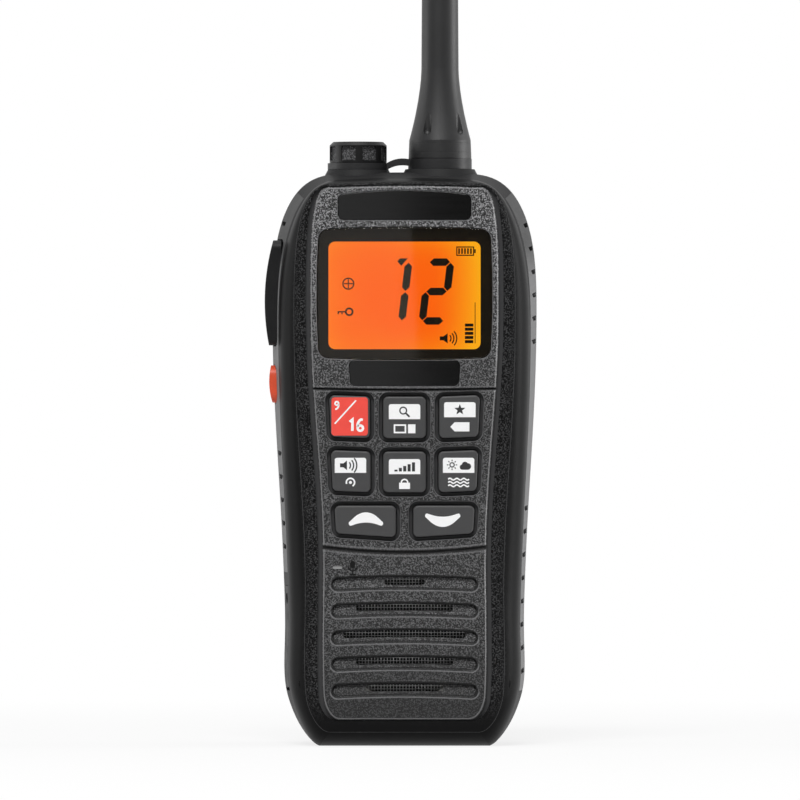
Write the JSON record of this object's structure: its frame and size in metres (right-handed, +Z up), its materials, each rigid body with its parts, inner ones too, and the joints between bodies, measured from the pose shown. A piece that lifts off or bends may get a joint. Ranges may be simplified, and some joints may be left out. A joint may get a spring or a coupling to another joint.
{
  "type": "handheld marine radio",
  "caption": "Handheld VHF marine radio with display, keypad, speaker slots, side talk key, screw-on aerial, jack cap, battery pack and belt clip.",
  "frame": {"origin": "middle of the flat base, under the middle of the casing's depth", "axes": "+Z up along the aerial, -Y out of the display, +X to the viewer's right"},
  "size_m": [0.0628, 0.0472, 0.2755],
  "materials": {
    "shell_dark": "fine satin, dark",
    "fascia_grain": "leather-grained, dark",
    "window_glass": "gloss tinted lens",
    "gloss_black": "gloss",
    "shell_grey": "satin grey",
    "seal_rubber": "matte",
    "steel": "satin",
    "grip_rubber": "matte grey",
    "key_rubber": "matte dark",
    "power_red": "semi-gloss red-orange",
    "inner_plastic": "matte",
    "circuit_board": "solder mask",
    "lcd_glass": "lit liquid crystal",
    "backlight_amber": "amber light guide",
    "tinned_steel": "tinned",
    "cast_alloy": "as cast",
    "mesh_steel": "woven mesh",
    "speaker_paper": "paper",
    "gold_contact": "gold plated",
    "cap_plastic": "satin",
    "tether_rubber": "matte",
    "aerial_rubber": "satin rubber sleeve",
    "brass_stud": "turned",
    "pack_plastic": "fine satin, dark",
    "cell_wrap": "shrink wrap",
    "latch_plastic": "satin grey",
    "spring_steel": "drawn wire",
    "clip_plastic": "satin",
    "key_red": "silicone, translucent red",
    "key_black": "silicone, printed"
  },
  "bodies": {
    "radio": {"front_shell": "shell_dark", "front_fascia": "fascia_grain", "display_window": "window_glass", "name_plate": "gloss_black", "lower_plate": "gloss_black", "rear_shell": "shell_grey", "main_gasket": "seal_rubber", "shell_screws": "steel", "side_grip_right": "grip_rubber", "side_grip_left": "grip_rubber", "side_board": "circuit_board", "charging_socket": "steel", "lcd_panel": "lcd_glass", "backlight": "backlight_amber", "keypad_mat": "seal_rubber", "main_board": "circuit_board", "shield_cans": "tinned_steel", "chassis_frame": "cast_alloy", "board_screws": "steel", "speaker_mesh": "mesh_steel", "speaker_basket": "tinned_steel", "speaker_cone": "speaker_paper", "speaker_magnet": "tinned_steel", "microphone": "seal_rubber", "contact_block": "inner_plastic", "contact_pins": "gold_contact", "audio_jack": "inner_plastic", "cap_tether": "tether_rubber", "aerial_socket": "brass_stud", "pack_case": "pack_plastic", "pack_lid": "inner_plastic", "pack_contacts": "gold_contact", "battery_cells": "cell_wrap", "battery_board": "circuit_board", "latch_spring": "spring_steel", "clip_base": "clip_plastic", "clip_pin": "steel", "clip_screws": "steel", "clip_spring": "spring_steel", "strap_eyelet": "steel"},
    "talk_key": {"talk_key": "key_rubber", "talk_key_plunger": "inner_plastic"},
    "power_key": {"power_key": "power_red", "power_key_plunger": "inner_plastic"},
    "cap_seal": {"cap_seal": "seal_rubber"},
    "jack_cap": {"jack_cap": "cap_plastic"},
    "aerial_gasket": {"aerial_gasket": "seal_rubber"},
    "aerial": {"aerial_sleeve": "aerial_rubber", "aerial_stud": "brass_stud"},
    "belt_clip": {"belt_clip": "clip_plastic"},
    "battery_latch": {"battery_latch": "latch_plastic"},
    "port_flap": {"port_flap": "key_rubber"},
    "key_channel_16": {"key_channel_16": "key_red"},
    "key_scan": {"key_scan": "key_black"},
    "key_favourite": {"key_favourite": "key_black"},
    "key_volume": {"key_volume": "key_black"},
    "key_power_level": {"key_power_level": "key_black"},
    "key_weather": {"key_weather": "key_black"},
    "key_up": {"key_up": "key_black"},
    "key_down": {"key_down": "key_black"}
  },
  "joints": [
    {"name": "channel_16_press", "type": "slide", "parent": "radio", "child": "key_channel_16", "axis": [0, 1, 0], "range_m": [0, 0.0007], "stiffness_N_per_m": 700, "springref_m": -0.0006},
    {"name": "scan_press", "type": "slide", "parent": "radio", "child": "key_scan", "axis": [0, 1, 0], "range_m": [0, 0.0007], "stiffness_N_per_m": 700, "springref_m": -0.0006},
    {"name": "favourite_press", "type": "slide", "parent": "radio", "child": "key_favourite", "axis": [0, 1, 0], "range_m": [0, 0.0007], "stiffness_N_per_m": 700, "springref_m": -0.0006},
    {"name": "volume_press", "type": "slide", "parent": "radio", "child": "key_volume", "axis": [0, 1, 0], "range_m": [0, 0.0007], "stiffness_N_per_m": 700, "springref_m": -0.0006},
    {"name": "power_level_press", "type": "slide", "parent": "radio", "child": "key_power_level", "axis": [0, 1, 0], "range_m": [0, 0.0007], "stiffness_N_per_m": 700, "springref_m": -0.0006},
    {"name": "weather_press", "type": "slide", "parent": "radio", "child": "key_weather", "axis": [0, 1, 0], "range_m": [0, 0.0007], "stiffness_N_per_m": 700, "springref_m": -0.0006},
    {"name": "up_press", "type": "slide", "parent": "radio", "child": "key_up", "axis": [0, 1, 0], "range_m": [0, 0.0007], "stiffness_N_per_m": 700, "springref_m": -0.0006},
    {"name": "down_press", "type": "slide", "parent": "radio", "child": "key_down", "axis": [0, 1, 0], "range_m": [0, 0.0007], "stiffness_N_per_m": 700, "springref_m": -0.0006},
    {"name": "talk_press", "type": "slide", "parent": "radio", "child": "talk_key", "axis": [1, 0, 0], "range_m": [0, 0.0008], "stiffness_N_per_m": 1500, "springref_m": -0.0006},
    {"name": "power_press", "type": "slide", "parent": "radio", "child": "power_key", "axis": [1, 0, 0], "range_m": [0, 0.0006], "stiffness_N_per_m": 1500, "springref_m": -0.0005},
    {"name": "cap_rise", "type": "slide", "parent": "radio", "child": "cap_seal", "axis": [0, 0, 1], "range_m": [0, 0.0025]},
    {"name": "cap_turn", "type": "hinge", "parent": "cap_seal", "child": "jack_cap", "pos_m": [-0.0107, 0.001, 0.1343], "axis": [0, 0, 1], "range_deg": [0, 900]},
    {"name": "aerial_rise", "type": "slide", "parent": "radio", "child": "aerial_gasket", "axis": [0, 0, 1], "range_m": [0, 0.0045]},
    {"name": "aerial_turn", "type": "hinge", "parent": "aerial_gasket", "child": "aerial", "pos_m": [0.0082, 0.001, 0.1352], "axis": [0, 0, 1], "range_deg": [0, 1800]},
    {"name": "clip_swing", "type": "hinge", "parent": "radio", "child": "belt_clip", "pos_m": [0, 0.0232, 0.113], "axis": [1, 0, 0], "range_deg": [0, 15], "stiffness_Nm_per_rad": 0.15, "springref_deg": -14.32, "deforming": ["clip_spring"]},
    {"name": "latch_slide", "type": "slide", "parent": "radio", "child": "battery_latch", "axis": [0, 0, 1], "range_m": [0, 0.0022], "stiffness_N_per_m": 400, "springref_m": -0.002, "deforming": ["latch_spring"]},
    {"name": "flap_swing", "type": "hinge", "parent": "radio", "child": "port_flap", "pos_m": [-0.02663, -0.0016, 0.0134], "axis": [0, -1, 0], "range_deg": [0, 90]}
  ],
  "couplings": [
    {"joint": "cap_turn", "follows": "cap_rise", "rad_per_m": 6283},
    {"joint": "aerial_turn", "follows": "aerial_rise", "rad_per_m": 6981}
  ]
}
